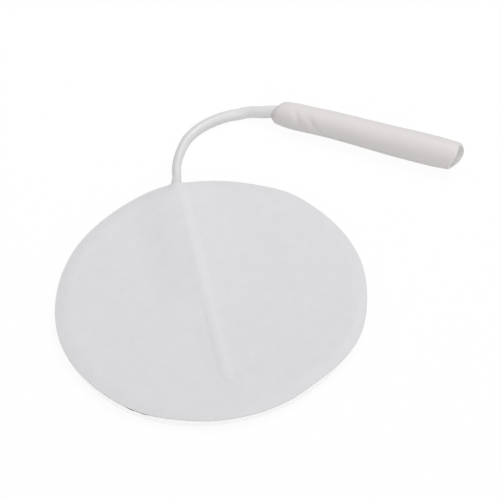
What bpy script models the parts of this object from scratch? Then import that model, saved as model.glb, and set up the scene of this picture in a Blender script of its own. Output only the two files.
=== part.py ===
"""A round gel electrode pad with a short pigtail lead and a 2 mm socket.

The pad lies skin side down. Its origin is the centre of the skin face, +Z is
up and +Y runs along the lead in the pad, which lies a little beside the pad's
middle. All lengths are in metres. From the skin up the pad is a hydrogel disc, a carbon
film and a nonwoven backing. The lead's stripped strands lie between film and
backing, and the gel gives way under the lead while the backing rises over it.
Outside the pad the lead lies on the table and ends in a rolled and crimped
socket contact inside a soft moulded sleeve.
"""

import math

import bmesh
import bpy
import numpy as np
from mathutils import Matrix, Vector

# Pad, from the skin face up
PAD_DIAMETER = 0.0500
GEL_THICKNESS = 0.0012
FILM_THICKNESS = 0.00020
BACKING_THICKNESS = 0.00050
GEL_INSET = 0.00030
FILM_INSET = 0.00012
LAYER_GAP = 0.00004
GEL_UNDER_LEAD = 0.00012

# Ridge of the backing over the lead, and the wider tent at the rim
SKIRT_PER_LEAD_RADIUS = 2.5
FLAT_PER_BUNDLE_RADIUS = 1.6
SKIRT_PER_BUNDLE_RADIUS = 4.4
TENT_LEFT = 0.0080
TENT_RIGHT = 0.0050
TENT_REACH = 0.0060
TENT_LIFT = 0.00010
RIDGE_RUN_OUT = 0.0036
RIDGE_CLEARANCE = 0.00006

# Lead: an insulated bundle of twisted strands
JACKET_DIAMETER = 0.0019
JACKET_WALL = 0.00045
STRAND_DIAMETER = 0.00020
STRAND_GAP = 0.00002
STRANDS_AROUND_CORE = 6
TWIST_PITCH = 0.0140
FLOOR_CLEARANCE = 0.00002

# Route of the lead in the pad, seen from above: the hooked bare end and the
# straight run, beside the pad's middle line
LEAD_X = -0.0008
HOOK_POINTS = [(0.0038, -0.0192), (0.0018, -0.0190), (0.0001, -0.0183)]
BARE_STRAIGHT_POINTS = [(LEAD_X, -0.0166), (LEAD_X, -0.0134), (LEAD_X, -0.0070)]
JACKET_START_Y = 0.0045
PAD_RUN_POINTS = [(LEAD_X, 0.0), (LEAD_X, 0.0120)]

# Route of the lead outside the pad, with y measured from the rim: level at the
# rim, along the table, and up into the sleeve, where z is given too
RIM_POINTS = [(LEAD_X, -0.0040), (LEAD_X, 0.0002)]
FREE_POINTS = [
    (-0.00030, 0.0027), (0.00005, 0.0050), (0.00070, 0.0072), (0.00190, 0.0098),
    (0.00345, 0.0119), (0.00595, 0.0137), (0.00860, 0.0147), (0.01140, 0.0152),
    (0.01300, 0.0151),
]
RISE_POINTS = [(0.01440, 0.01485, 0.00122), (0.01570, 0.01435, 0.00156), (0.01715, 0.01370, 0.00198)]

# Sleeve, turned about its own axis and lying on its side, with its wire end
# placed as the lead's points are
SLEEVE_WIRE_END = (0.01900, 0.01275)
SLEEVE_HEADING_DEGREES = -35.6
SLEEVE_LENGTH = 0.0339
SLEEVE_NECK_DIAMETER = 0.00236
SLEEVE_CONE_DIAMETER = 0.00350
SLEEVE_SHOULDER_DIAMETER = 0.00467
SLEEVE_BELLY_DIAMETER = 0.00524
CONE_LENGTH = 0.0009
SHOULDER_LENGTH = 0.0046
PARALLEL_LENGTH = 0.0105
NOSE_LENGTH = 0.0050
NOSE_DIAMETER = 0.00482
NOSE_ROUNDING = 0.00028
NOSE_FULLNESS = 0.00003
MOUTH_LIP = 0.00040
MOUTH_LEAD_IN = 0.0018
SLEEVE_TO_CONTACT = 0.00006
SLEEVE_TO_JACKET = 0.00006
SLEEVE_ENTRY = 0.0004

# Socket contact, rolled from one strip: two crimps and a slit barrel
STRIP_THICKNESS = 0.00025
PIN_BORE_DIAMETER = 0.00205
BARREL_WAIST = 0.00005
BARREL_FLARE = 0.00008
BARREL_LENGTH = 0.0115
NECK_LENGTH = 0.0024
WIRE_CRIMP_LENGTH = 0.0030
WINDOW_LENGTH = 0.0012
JACKET_CRIMP_LENGTH = 0.0024
CONTACT_RECESS = 0.0022
CRIMP_CLEARANCE = 0.00003
SLIT_WIDTH = 0.00030
TROUGH_HALF_DEGREES = 75.0

# Values that follow from the sizes above
PAD_RADIUS = PAD_DIAMETER / 2
JACKET_RADIUS = JACKET_DIAMETER / 2
STRAND_RADIUS = STRAND_DIAMETER / 2
STRAND_CIRCLE = STRAND_DIAMETER + STRAND_GAP
BUNDLE_RADIUS = STRAND_CIRCLE + STRAND_RADIUS
FILM_TOP = GEL_THICKNESS + LAYER_GAP + FILM_THICKNESS
BACKING_UNDERSIDE = FILM_TOP + LAYER_GAP
LEAD_SINK = GEL_THICKNESS - GEL_UNDER_LEAD
LEAD_AXIS_HEIGHT = FILM_TOP - LEAD_SINK + LAYER_GAP + JACKET_RADIUS
BARE_SINK = max(0.0, FILM_TOP - (LEAD_AXIS_HEIGHT - BUNDLE_RADIUS - LAYER_GAP))
TABLE_AXIS_HEIGHT = JACKET_RADIUS + FLOOR_CLEARANCE
LEAD_SKIRT = SKIRT_PER_LEAD_RADIUS * JACKET_RADIUS
BARE_FLAT = FLAT_PER_BUNDLE_RADIUS * BUNDLE_RADIUS
BARE_SKIRT = SKIRT_PER_BUNDLE_RADIUS * BUNDLE_RADIUS
CONTACT_LENGTH = (JACKET_CRIMP_LENGTH + WINDOW_LENGTH + WIRE_CRIMP_LENGTH
                  + NECK_LENGTH + BARREL_LENGTH)
CONTACT_START = SLEEVE_LENGTH - CONTACT_RECESS - CONTACT_LENGTH
BARREL_RADIUS = PIN_BORE_DIAMETER / 2 + STRIP_THICKNESS / 2
CONTACT_OUTER_RADIUS = BARREL_RADIUS + STRIP_THICKNESS / 2 + BARREL_FLARE
JACKET_INTO_SLEEVE = CONTACT_START + JACKET_CRIMP_LENGTH
STRANDS_INTO_SLEEVE = JACKET_INTO_SLEEVE + WINDOW_LENGTH + WIRE_CRIMP_LENGTH

# Fineness of the meshes
PAD_SIDE_COLUMNS = 10
SLEEVE_SIDES = 28
NOSE_STEPS = 5
STRIP_COLUMNS = 18
JACKET_POINTS = 48
STRAND_POINTS = 58
CURVE_SAMPLES = 24
MERGE_DISTANCE = 1e-6

COLLECTION_NAME = "gel_electrode"


def clear_scene():
    """Remove the objects that a new file starts with."""
    for thing in list(bpy.data.objects):
        bpy.data.objects.remove(thing, do_unlink=True)


def parts_collection():
    """The collection that holds the model, made on first use."""
    found = bpy.data.collections.get(COLLECTION_NAME)
    if found is None:
        found = bpy.data.collections.new(COLLECTION_NAME)
        bpy.context.scene.collection.children.link(found)
    return found


def plain_material(name, colour, roughness, metallic=0.0, transmission=0.0):
    """A Principled material in one colour."""
    material = bpy.data.materials.new(name)
    material.use_nodes = True
    shader = material.node_tree.nodes["Principled BSDF"]
    shader.inputs["Base Color"].default_value = (*colour, 1.0)
    shader.inputs["Roughness"].default_value = roughness
    shader.inputs["Metallic"].default_value = metallic
    shader.inputs["Transmission Weight"].default_value = transmission
    return material


def add_part(name, data, material):
    """Link an object for the given mesh or curve, with its material."""
    part = bpy.data.objects.new(name, data)
    data.materials.append(material)
    parts_collection().objects.link(part)
    return part


def shade_round(mesh, degrees=35.0):
    """Shade a mesh smooth apart from its sharp edges."""
    mesh.shade_smooth()
    mesh.set_sharp_from_angle(angle=math.radians(degrees))


def ease(value):
    """Smooth step from 0 to 1, flat at both ends."""
    value = min(1.0, max(0.0, value))
    return value * value * (3.0 - 2.0 * value)


def hump(offset, half_width, flat=0.0):
    """A cosine bump: 1 as far as flat, falling to 0 at half_width."""
    share = max(0.0, abs(offset) - flat) / (half_width - flat)
    return 0.5 * (1.0 + math.cos(math.pi * share)) if share < 1.0 else 0.0


def lead_share(y):
    """1 over the insulated lead, 0 well before it starts."""
    return ease((y - (JACKET_START_Y - RIDGE_RUN_OUT)) / (0.75 * RIDGE_RUN_OUT))


def bare_distance(x, y):
    """Distance in plan from a point to the bare strands, taken as straight pieces."""
    place = Vector((x, y))
    ends = HOOK_POINTS + BARE_STRAIGHT_POINTS[:1] + [(LEAD_X, JACKET_START_Y)]
    nearest = PAD_RADIUS
    for first, second in zip(ends, ends[1:]):
        start = Vector(first)
        run = Vector(second) - start
        along = min(1.0, max(0.0, (place - start).dot(run) / run.length_squared))
        nearest = min(nearest, (place - start - along * run).length)
    return nearest


def bare_hump(x, y):
    """1 over the bare strands, 0 away from them."""
    return hump(bare_distance(x, y), BARE_SKIRT, BARE_FLAT)


def sink(x, y):
    """How far the gel and the film are pressed down at a point."""
    over_lead = lead_share(y) * hump(x - LEAD_X, LEAD_SKIRT)
    return max(LEAD_SINK * over_lead, BARE_SINK * bare_hump(x, y))


def rise(x, y):
    """How far the backing is lifted at a point, with a tent that is wider on the left."""
    tent = ease((y - (PAD_RADIUS - TENT_REACH)) / TENT_REACH)
    tent_width = TENT_LEFT if x < LEAD_X else TENT_RIGHT
    over_lead = LEAD_AXIS_HEIGHT + JACKET_RADIUS + RIDGE_CLEARANCE - BACKING_UNDERSIDE
    over_bare = LEAD_AXIS_HEIGHT + BUNDLE_RADIUS + RIDGE_CLEARANCE - BACKING_UNDERSIDE
    skirt = LEAD_SKIRT + (tent_width - LEAD_SKIRT) * tent
    lead = (over_lead + TENT_LIFT * tent) * lead_share(y) * hump(x - LEAD_X, skirt)
    return max(lead, over_bare * bare_hump(x, y))


def pad_columns():
    """Places across the pad, close together over the conductor, from -1 to 1."""
    skirt = [share * LEAD_SKIRT for share in (0.2, 0.4, 0.68, 1.0)]
    hook_reach = HOOK_POINTS[0][0] - LEAD_X + BARE_SKIRT
    hook = [skirt[-1] + share * (hook_reach - skirt[-1]) for share in (0.33, 0.67, 1.0)]
    columns = [LEAD_X / PAD_RADIUS]
    for side in (-1.0, 1.0):
        near = [(LEAD_X + side * value) / PAD_RADIUS for value in skirt + hook]
        last = math.asin(abs(near[-1]))
        step = (math.pi / 2 - last) / PAD_SIDE_COLUMNS
        far = [side * math.sin(last + step * number) for number in range(1, PAD_SIDE_COLUMNS)]
        columns += near + far + [side]
    return sorted(columns)


def pad_rows():
    """Places along the pad, close together where the conductor changes."""
    bend, straight = BARE_STRAIGHT_POINTS[0][1], BARE_STRAIGHT_POINTS[1][1]
    tip = HOOK_POINTS[0][1]
    hook = [tip + share * (bend - tip) for share in (-0.55, -0.25, 0.0, 0.3, 0.65, 1.0)]
    lead_start = [JACKET_START_Y - share * RIDGE_RUN_OUT for share in (1.4, 0.75, 0.25)]
    middle = [straight, (straight + lead_start[0]) / 2]
    tent = PAD_RADIUS - TENT_REACH
    lead = [JACKET_START_Y + share * (tent - JACKET_START_Y) for share in (0.2, 0.6, 1.0)]
    rows = sorted(hook + middle + lead_start + lead + [tent + 0.55 * TENT_REACH])
    return [-1.0, (rows[0] / PAD_RADIUS - 1.0) / 2] + [value / PAD_RADIUS for value in rows] + [1.0]


def pad_layer(name, radius, columns, rows, underside, top, material):
    """A disc between two height functions.

    A square grid is stretched so that column u and row t land at
    x = R * u and y = R * t * sqrt(1 - u * u), with R the pad's radius. That
    closes it to a point at either side and gives it a round rim, which is then
    drawn in to the layer's own radius, so the layers share one pattern inside.
    """
    shape = bmesh.new()
    bmesh.ops.create_grid(shape, x_segments=len(columns) - 1, y_segments=len(rows) - 1, size=1.0)
    for vertex in shape.verts:
        column = round((vertex.co.x + 1.0) / 2.0 * (len(columns) - 1))
        row = round((vertex.co.y + 1.0) / 2.0 * (len(rows) - 1))
        half_chord = math.sqrt(max(0.0, 1.0 - columns[column] ** 2))
        place = PAD_RADIUS * Vector((columns[column], rows[row] * half_chord, 0.0))
        vertex.co = place * min(1.0, radius / place.length) if place.length > 0.0 else place
    bmesh.ops.remove_doubles(shape, verts=shape.verts, dist=MERGE_DISTANCE)
    lower = list(shape.verts)
    grown = bmesh.ops.extrude_face_region(shape, geom=list(shape.faces))
    upper = [item for item in grown["geom"] if isinstance(item, bmesh.types.BMVert)]
    for vertex in lower:
        vertex.co.z = underside(vertex.co.x, vertex.co.y)
    for vertex in upper:
        vertex.co.z = top(vertex.co.x, vertex.co.y)
    bmesh.ops.recalc_face_normals(shape, faces=shape.faces)
    mesh = bpy.data.meshes.new(name)
    shape.to_mesh(mesh)
    shape.free()
    shade_round(mesh)
    return add_part(name, mesh, material)


def film_underside(x, y):
    """Top of the gel, and one gap above it."""
    return GEL_THICKNESS - sink(x, y) + LAYER_GAP


def backing_underside(x, y):
    """Flat on the film, lifted over the lead and its strands."""
    return BACKING_UNDERSIDE + rise(x, y)


def build_pad():
    """The three layers of the pad."""
    gel = plain_material("hydrogel_clear", (0.80, 0.84, 0.86), 0.15, transmission=0.8)
    carbon = plain_material("carbon_black", (0.03, 0.03, 0.03), 0.5)
    cloth = plain_material("nonwoven_white", (0.78, 0.79, 0.80), 0.9)
    columns = pad_columns()
    rows = pad_rows()
    pad_layer("hydrogel", PAD_RADIUS - GEL_INSET, columns, rows,
              lambda x, y: 0.0,
              lambda x, y: GEL_THICKNESS - sink(x, y), gel)
    pad_layer("carbon_film", PAD_RADIUS - FILM_INSET, columns, rows,
              film_underside,
              lambda x, y: film_underside(x, y) + FILM_THICKNESS, carbon)
    pad_layer("backing", PAD_RADIUS, columns, rows,
              backing_underside,
              lambda x, y: backing_underside(x, y) + BACKING_THICKNESS, cloth)


def from_rim(place, height):
    """A point given by its place from the lead's exit at the rim, and its height."""
    return (place[0], PAD_RADIUS + place[1], height)


def sleeve_frame():
    """Matrix that lays the sleeve's own Z along its heading on the table.

    It rests on its shoulder and on its belly, so its axis climbs by the
    difference of their radii.
    """
    heading = math.radians(SLEEVE_HEADING_DEGREES)
    shoulder = SLEEVE_SHOULDER_DIAMETER / 2
    belly = SLEEVE_BELLY_DIAMETER / 2
    span = SLEEVE_LENGTH - NOSE_LENGTH - SHOULDER_LENGTH
    climb = math.asin((belly - shoulder) / span)
    along = Vector((math.cos(heading) * math.cos(climb), math.sin(heading) * math.cos(climb),
                    math.sin(climb)))
    side = Vector((-math.sin(heading), math.cos(heading), 0.0))
    up = along.cross(side)
    height = shoulder / math.cos(climb) - SHOULDER_LENGTH * math.sin(climb) + FLOOR_CLEARANCE
    frame = Matrix((up, side, along)).transposed().to_4x4()
    frame.translation = from_rim(SLEEVE_WIRE_END, height)
    return frame


def turned(name, profile, sides, material, frame):
    """A closed profile of (radius, height) points turned about Z."""
    mesh = bpy.data.meshes.new(name)
    corners = [(radius, 0.0, height) for radius, height in profile]
    edges = [(index, (index + 1) % len(corners)) for index in range(len(corners))]
    mesh.from_pydata(corners, edges, [])
    part = add_part(name, mesh, material)
    part.matrix_world = frame
    screw = part.modifiers.new("turn", "SCREW")
    screw.axis = "Z"
    screw.steps = sides
    screw.render_steps = sides
    screw.use_merge_vertices = True
    screw.merge_threshold = MERGE_DISTANCE
    screw.use_smooth_shade = True
    return part


def sleeve_profile():
    """The sleeve's section, down its outer side from the mouth, then up its bore.

    The shoulder is a steep cone from the neck, then a parabola that runs out
    along the body. The mouth is a funnel that leads a pin into the contact.
    """
    belly_top = SLEEVE_LENGTH - NOSE_LENGTH
    nose = NOSE_DIAMETER / 2
    bore = CONTACT_OUTER_RADIUS + SLEEVE_TO_CONTACT
    wire_bore = JACKET_RADIUS + SLEEVE_TO_JACKET
    outer = []
    for step in range(NOSE_STEPS + 1):
        turn = math.pi / 2 * (1.0 - step / NOSE_STEPS)
        outer.append((nose - NOSE_ROUNDING + NOSE_ROUNDING * math.cos(turn),
                      SLEEVE_LENGTH - NOSE_ROUNDING + NOSE_ROUNDING * math.sin(turn)))
    outer.append(((nose + SLEEVE_BELLY_DIAMETER / 2) / 2 + NOSE_FULLNESS,
                  (belly_top + SLEEVE_LENGTH - NOSE_ROUNDING) / 2))
    outer.append((SLEEVE_BELLY_DIAMETER / 2, belly_top))
    outer.append((SLEEVE_SHOULDER_DIAMETER / 2, PARALLEL_LENGTH))
    shoulder = SLEEVE_SHOULDER_DIAMETER / 2
    cone = SLEEVE_CONE_DIAMETER / 2
    for share in (1.0, 0.7, 0.45, 0.2, 0.0):
        outer.append((shoulder - (shoulder - cone) * (1.0 - share) ** 2,
                      CONE_LENGTH + share * (SHOULDER_LENGTH - CONE_LENGTH)))
    outer.append((SLEEVE_NECK_DIAMETER / 2, 0.0))
    inner = [
        (wire_bore, 0.0),
        (wire_bore, CONTACT_START - SLEEVE_TO_CONTACT),
        (bore, CONTACT_START - SLEEVE_TO_CONTACT),
        (bore, SLEEVE_LENGTH - MOUTH_LEAD_IN),
        (nose - MOUTH_LIP, SLEEVE_LENGTH),
    ]
    return outer + inner


def contact_stations():
    """Stations along the strip, each (height, middle radius)."""
    half = STRIP_THICKNESS / 2
    jacket_crimp = JACKET_RADIUS + CRIMP_CLEARANCE + half
    wire_crimp = BUNDLE_RADIUS + CRIMP_CLEARANCE + half
    window = JACKET_CRIMP_LENGTH
    wires = window + WINDOW_LENGTH
    neck = wires + WIRE_CRIMP_LENGTH
    barrel = neck + NECK_LENGTH
    return [
        (0.0, jacket_crimp),
        (0.5 * JACKET_CRIMP_LENGTH, jacket_crimp),
        (window, jacket_crimp),
        (window + 0.3 * WINDOW_LENGTH, jacket_crimp),
        (wires - 0.15 * WINDOW_LENGTH, wire_crimp),
        (wires, wire_crimp),
        (wires + 0.5 * WIRE_CRIMP_LENGTH, wire_crimp),
        (neck, wire_crimp),
        (neck + 0.15 * NECK_LENGTH, wire_crimp),
        (neck + 0.45 * NECK_LENGTH, (wire_crimp + BARREL_RADIUS) / 2),
        (barrel - 0.20 * NECK_LENGTH, BARREL_RADIUS),
        (barrel, BARREL_RADIUS),
        (barrel + 0.25 * BARREL_LENGTH, BARREL_RADIUS),
        (barrel + 0.45 * BARREL_LENGTH, BARREL_RADIUS - BARREL_WAIST),
        (barrel + 0.65 * BARREL_LENGTH, BARREL_RADIUS - BARREL_WAIST),
        (barrel + 0.92 * BARREL_LENGTH, BARREL_RADIUS),
        (barrel + BARREL_LENGTH, BARREL_RADIUS + BARREL_FLARE),
    ]


def is_cut_away(height, turn):
    """True where the blank is notched, so that only a trough joins two rings."""
    window = JACKET_CRIMP_LENGTH
    neck = window + WINDOW_LENGTH + WIRE_CRIMP_LENGTH
    in_window = window < height < window + WINDOW_LENGTH
    in_neck = neck < height < neck + NECK_LENGTH
    return (in_window or in_neck) and abs(turn - math.pi) > math.radians(TROUGH_HALF_DEGREES)


def build_contact(frame):
    """The strip, rolled round the axis with its slit on top.

    A grid is wrapped so that one way runs round from one edge of the slit to
    the other and the other way runs through the stations. Two stretches of it
    are then notched down to a trough.
    """
    nickel = plain_material("nickel_plate", (0.66, 0.65, 0.62), 0.3, metallic=1.0)
    stations = contact_stations()
    shape = bmesh.new()
    bmesh.ops.create_grid(shape, x_segments=STRIP_COLUMNS, y_segments=len(stations) - 1, size=1.0)
    cut = []
    for face in shape.faces:
        centre = face.calc_center_median()
        turn = math.pi * (1.0 + centre.x)
        row = int((centre.y + 1.0) / 2.0 * (len(stations) - 1))
        height = (stations[row][0] + stations[row + 1][0]) / 2
        if is_cut_away(height, turn):
            cut.append(face)
    bmesh.ops.delete(shape, geom=cut, context="FACES")
    for vertex in shape.verts:
        row = round((vertex.co.y + 1.0) / 2.0 * (len(stations) - 1))
        height, radius = stations[row]
        edge = math.asin(SLIT_WIDTH / 2 / radius)
        turn = edge + (vertex.co.x + 1.0) / 2.0 * (2.0 * math.pi - 2.0 * edge)
        vertex.co = Vector((radius * math.cos(turn), radius * math.sin(turn), height))
    mesh = bpy.data.meshes.new("socket_contact")
    shape.to_mesh(mesh)
    shape.free()
    shade_round(mesh)
    contact = add_part("socket_contact", mesh, nickel)
    contact.matrix_world = frame @ Matrix.Translation((0.0, 0.0, CONTACT_START))
    wall = contact.modifiers.new("strip", "SOLIDIFY")
    wall.thickness = STRIP_THICKNESS
    wall.offset = 0.0
    wall.use_even_offset = True
    return contact


def conductor_points(frame):
    """The points that the whole conductor runs through, bare end first."""
    in_pad = [(x, y, LEAD_AXIS_HEIGHT)
              for x, y in HOOK_POINTS + BARE_STRAIGHT_POINTS + PAD_RUN_POINTS]
    rim = [from_rim(place, LEAD_AXIS_HEIGHT) for place in RIM_POINTS]
    free = [from_rim(place, TABLE_AXIS_HEIGHT) for place in FREE_POINTS]
    rising = [from_rim(place, place[2]) for place in RISE_POINTS]
    on_axis = (SLEEVE_ENTRY, 0.35 * JACKET_INTO_SLEEVE, 0.7 * JACKET_INTO_SLEEVE,
               STRANDS_INTO_SLEEVE)
    sleeve = [tuple(frame @ Vector((0.0, 0.0, distance))) for distance in on_axis]
    return in_pad + rim + free + rising + sleeve


def smooth_curve(points):
    """Centripetal Catmull-Rom curve through all the points, as an array."""
    knots = np.array(points, dtype=float)
    knots = np.vstack([2 * knots[0] - knots[1], knots, 2 * knots[-1] - knots[-2]])
    pieces = []
    for before, start, end, after in zip(knots, knots[1:], knots[2:], knots[3:]):
        t1 = np.linalg.norm(start - before) ** 0.5
        t2 = t1 + np.linalg.norm(end - start) ** 0.5
        t3 = t2 + np.linalg.norm(after - end) ** 0.5
        t = np.linspace(t1, t2, CURVE_SAMPLES, endpoint=False)[:, None]
        a1 = (t1 - t) / t1 * before + t / t1 * start
        a2 = (t2 - t) / (t2 - t1) * start + (t - t1) / (t2 - t1) * end
        a3 = (t3 - t) / (t3 - t2) * end + (t - t2) / (t3 - t2) * after
        b1 = (t2 - t) / t2 * a1 + t / t2 * a2
        b2 = (t3 - t) / (t3 - t1) * a2 + (t - t1) / (t3 - t1) * a3
        pieces.append((t2 - t) / (t2 - t1) * b1 + (t - t1) / (t2 - t1) * b2)
    return np.vstack(pieces + [knots[-2:-1]])


def spaced(path, start, end, count):
    """Points evenly spaced along a path, between two distances along it."""
    steps = np.linalg.norm(np.diff(path, axis=0), axis=1)
    distance = np.concatenate([[0.0], np.cumsum(steps)])
    wanted = np.linspace(start, end, count)
    return np.stack([np.interp(wanted, distance, path[:, axis]) for axis in range(3)], axis=1)


def path_length(path):
    """Length of a path along its points."""
    return float(np.linalg.norm(np.diff(path, axis=0), axis=1).sum())


def carried_frames(path):
    """A normal and a binormal at each point, carried along without twist."""
    tangents = np.gradient(path, axis=0)
    tangents /= np.linalg.norm(tangents, axis=1)[:, None]
    normals = []
    normal = np.array([0.0, 0.0, 1.0])
    for tangent in tangents:
        normal = normal - normal.dot(tangent) * tangent
        normal /= np.linalg.norm(normal)
        normals.append(normal)
    normals = np.array(normals)
    return normals, np.cross(tangents, normals)


def wire(name, path, radius, sides_resolution, material, capped=True):
    """A round wire along a path, as a bevelled curve."""
    curve = bpy.data.curves.new(name, "CURVE")
    curve.dimensions = "3D"
    curve.bevel_depth = radius
    curve.bevel_resolution = sides_resolution
    curve.use_fill_caps = capped
    spline = curve.splines.new("POLY")
    spline.points.add(len(path) - 1)
    spline.points.foreach_set("co", np.hstack([path, np.ones((len(path), 1))]).ravel())
    spline.use_smooth = True
    return add_part(name, curve, material)


def build_lead(frame):
    """The jacket and the twisted strands inside it."""
    vinyl = plain_material("vinyl_white", (0.78, 0.78, 0.78), 0.4)
    tinned = plain_material("tinned_copper", (0.72, 0.70, 0.68), 0.3, metallic=1.0)
    path = smooth_curve(conductor_points(frame))
    total = path_length(path)
    in_pad = path[: int(np.argmax(path[:, 1] >= JACKET_START_Y)) + 1]
    jacket_start = path_length(in_pad)
    jacket_end = total - (STRANDS_INTO_SLEEVE - JACKET_INTO_SLEEVE)
    jacket_path = spaced(path, jacket_start, jacket_end, JACKET_POINTS)
    jacket = wire("lead_jacket", jacket_path, JACKET_RADIUS, 2, vinyl, capped=False)
    bore = jacket.modifiers.new("bore", "SOLIDIFY")
    bore.thickness = JACKET_WALL
    bore.offset = -1.0
    centre = spaced(path, 0.0, total, STRAND_POINTS)
    normals, binormals = carried_frames(centre)
    turn = 2.0 * math.pi * np.linspace(0.0, total, len(centre)) / TWIST_PITCH
    wire("strand_core", centre, STRAND_RADIUS, 1, tinned)
    for number in range(STRANDS_AROUND_CORE):
        phase = turn + 2.0 * math.pi * number / STRANDS_AROUND_CORE
        offset = np.cos(phase)[:, None] * normals + np.sin(phase)[:, None] * binormals
        wire(f"strand_{number + 1}", centre + STRAND_CIRCLE * offset, STRAND_RADIUS, 1, tinned)


def build():
    """Make the whole electrode."""
    clear_scene()
    build_pad()
    frame = sleeve_frame()
    soft = plain_material("sleeve_white", (0.78, 0.77, 0.76), 0.5)
    turned("connector_sleeve", sleeve_profile(), SLEEVE_SIDES, soft, frame)
    build_contact(frame)
    build_lead(frame)


build()
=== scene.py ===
"""Looks of the gel electrode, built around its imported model.

Lengths are in metres, in the model's own frame: the skin face lies on z = 0,
+Z is up and +Y runs along the lead in the pad, a little beside its middle. The
pieces are surfaces worked out on grids of points, in the places that the
model gives them.
"""

import math

import bmesh
import bpy
import numpy as np
from mathutils import Matrix, Vector


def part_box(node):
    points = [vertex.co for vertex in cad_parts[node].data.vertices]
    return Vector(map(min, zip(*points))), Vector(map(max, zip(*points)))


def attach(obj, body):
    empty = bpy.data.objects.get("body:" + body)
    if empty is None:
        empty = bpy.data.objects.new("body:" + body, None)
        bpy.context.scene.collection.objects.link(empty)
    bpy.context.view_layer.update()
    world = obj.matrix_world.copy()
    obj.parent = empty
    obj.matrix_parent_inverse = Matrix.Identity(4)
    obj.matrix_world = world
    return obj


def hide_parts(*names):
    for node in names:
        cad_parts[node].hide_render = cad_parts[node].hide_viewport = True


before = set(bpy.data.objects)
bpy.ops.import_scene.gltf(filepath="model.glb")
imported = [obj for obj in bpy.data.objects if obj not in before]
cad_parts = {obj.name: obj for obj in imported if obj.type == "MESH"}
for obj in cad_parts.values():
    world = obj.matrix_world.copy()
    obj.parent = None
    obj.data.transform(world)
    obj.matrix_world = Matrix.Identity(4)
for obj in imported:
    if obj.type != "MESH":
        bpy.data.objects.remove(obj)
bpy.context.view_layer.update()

# Camera, from the pad's outline in the picture
VIEW_ELEVATION = 47.993
VIEW_AZIMUTH = -7.9129
VIEW_ROLL = -5.4631
VIEW_DISTANCE = 0.300
VIEW_TARGET = (0.008483, 0.009182, 0.0)
LENS_MM = 131.451
SENSOR_MM = 36.0
CLIP_START = 0.01
CLIP_END = 20.0

# Pad, with what the model's boxes give
PAD_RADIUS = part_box("backing")[1].x
BACKING_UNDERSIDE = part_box("backing")[0].z
FILM_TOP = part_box("carbon_film")[1].z
GEL_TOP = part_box("hydrogel")[1].z
LAYER_GAP = BACKING_UNDERSIDE - FILM_TOP
FILM_THICKNESS = FILM_TOP - GEL_TOP - LAYER_GAP
BACKING_THICKNESS = 0.00050
EDGE_PINCH = 0.00030
EDGE_PINCH_WIDTH = 0.0022
EDGE_PINCH_POWER = 1.5
BACKING_ROUNDING = 0.00005
FILM_ROUNDING = 0.00003
GEL_ROUNDING = 0.00028
EDGE_SQUARENESS = 0.6
GEL_UNDER_LEAD = 0.00012
GEL_INSET = 0.00030
FILM_INSET = 0.00034

# Places round the rim, as (height, where in degrees from +X, width in degrees)
RIM_HIGH_PLACES = [
    (0.00046, -33.0, 16.0), (0.00036, 47.0, 11.0), (0.00024, 76.0, 12.0), (0.00014, 0.0, 14.0),
    (0.00036, 106.0, 13.0),
]
RIM_LOW_PLACES = [
    (0.00024, -60.0, 9.0), (0.00022, 165.0, 18.0), (0.00014, -150.0, 12.0), (0.00020, -112.0, 9.0),
]
RIM_CURLS = [(0.00028, -33.0, 14.0), (0.00014, -120.0, 14.0)]
CURL_START = 0.955
FILM_SHOWS = [(0.00022, -130.0, 15.0), (0.00006, -128.0, 5.0), (0.00014, -33.0, 8.0)]
FILM_RAGGED = 0.00004
FILM_TEETH = 60.0
GEL_CREEP = [(0.00030, -128.0, 20.0)]

# Slow waves of the soft disc, as (share, radians to the metre along x and y, phase)
WAVE_HEIGHT = 0.000012
WAVES = [(1.0, 410.0, 150.0, 0.0), (1.0, -210.0, 530.0, 1.0), (0.6, 890.0, 760.0, 2.0)]

# Grids of the three layers, as (points round, points out), and how closely the
# points crowd together round the lead and towards the edge
CLOTH_GRID = (300, 150)
LAYER_GRID = (260, 70)
EDGE_ROWS = 7
CROWD_ROUND = 0.35
CROWD_OUT = 1.25

# Lead and its conductor
JACKET_RADIUS = 0.00095
JACKET_WALL = 0.00045
JACKET_END_ROUNDING = 0.00006
JACKET_END_STEP = 0.1
JACKET_RINGS = 240
JACKET_SIDES = 32
STRAND_DIAMETER = 0.00020
STRAND_GAP = 0.00002
FLOOR_CLEARANCE = 0.00002
BUNDLE_RADIUS = STRAND_GAP + 1.5 * STRAND_DIAMETER
LEAD_SINK = GEL_TOP - GEL_UNDER_LEAD
LEAD_AXIS_HEIGHT = FILM_TOP - LEAD_SINK + LAYER_GAP + JACKET_RADIUS
BARE_SINK = max(0.0, FILM_TOP - (LEAD_AXIS_HEIGHT - BUNDLE_RADIUS - LAYER_GAP))
TABLE_AXIS_HEIGHT = JACKET_RADIUS + FLOOR_CLEARANCE

# Radius of the insulation, as (distance past the rim, radius) and then
# (distance past the sleeve's wire end, radius)
RADII_PAST_RIM = [
    (-0.0060, JACKET_RADIUS), (0.0, 0.00091), (0.0025, 0.00077), (0.0070, 0.00079),
    (0.0160, 0.00096),
]
RADII_PAST_SLEEVE_END = [(-0.0040, 0.00102), (0.0, 0.00110), (0.0090, JACKET_RADIUS)]

# Places on X between which painted light lightens the lead's vinyl, standing in for brighter light
# on the stretch near the sleeve
PAINTED_LIGHT_FROM = 0.0095
PAINTED_LIGHT_TO = 0.0135

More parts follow.
